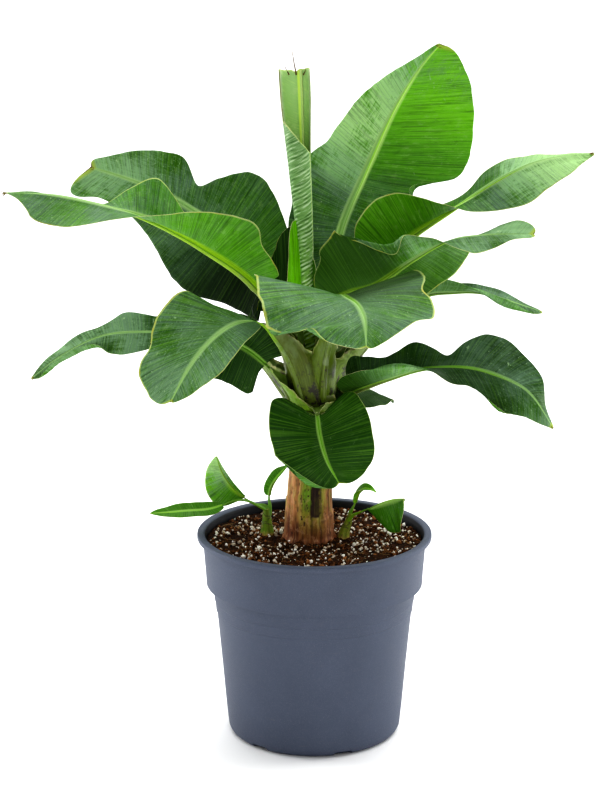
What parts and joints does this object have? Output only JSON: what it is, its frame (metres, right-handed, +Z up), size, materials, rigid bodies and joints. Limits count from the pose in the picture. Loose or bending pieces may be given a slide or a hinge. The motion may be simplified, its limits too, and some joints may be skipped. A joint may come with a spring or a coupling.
{
  "type": "potted banana plant",
  "caption": "Young banana plant with broad arching leaves on a short false stem, small suckers at its foot, growing in a round plastic nursery pot.",
  "frame": {"origin": "centre of the pot's flat underside, on the pot's axis", "axes": "+Z up along the pot's axis; the side with the broad front leaf and the hanging leaf faces -Y"},
  "size_m": [0.6584, 0.4653, 0.7861],
  "materials": {
    "pot": "matte, faintly speckled grey-blue plastic",
    "soil": "dark brown fibrous potting mix with white grains",
    "stem": "red-brown, tan and olive leaf bases with dark torn edges",
    "stalk": "smooth pale green leaf stalks",
    "rolled_leaf": "fresh rolled leaf, yellow-green",
    "blade": "waxy leaf blade with fine side veins"
  },
  "bodies": {
    "root": {"pot": "pot", "soil": "soil", "false_stem": "stem", "crown": "stalk", "rolled_leaf": "rolled_leaf", "sucker_left_stem": "stalk", "sucker_right_stem": "stalk", "stalk_tall": "stalk", "blade_tall": "blade", "stalk_back_left": "stalk", "blade_back_left": "blade", "stalk_left": "stalk", "blade_left": "blade", "stalk_front_left": "stalk", "blade_front_left": "blade", "stalk_front": "stalk", "blade_front": "blade", "stalk_cup": "stalk", "blade_cup": "blade", "stalk_right_high": "stalk", "blade_right_high": "blade", "stalk_right_small": "stalk", "blade_right_small": "blade", "stalk_right_low": "stalk", "blade_right_low": "blade", "stalk_hang": "stalk", "blade_hang": "blade", "stalk_far_left": "stalk", "blade_far_left": "blade", "stalk_low_left": "stalk", "blade_low_left": "blade", "stalk_low_right": "stalk", "blade_low_right": "blade", "stalk_back": "stalk", "blade_back": "blade", "stalk_back_right": "stalk", "blade_back_right": "blade", "stalk_back_low": "stalk", "blade_back_low": "blade", "stalk_sucker_left_flat": "stalk", "blade_sucker_left_flat": "blade", "stalk_sucker_left_up": "stalk", "blade_sucker_left_up": "blade", "stalk_sucker_left_back": "stalk", "blade_sucker_left_back": "blade", "stalk_sucker_right_hook": "stalk", "blade_sucker_right_hook": "blade", "stalk_sucker_right_broad": "stalk", "blade_sucker_right_broad": "blade"}
  },
  "joints": []
}
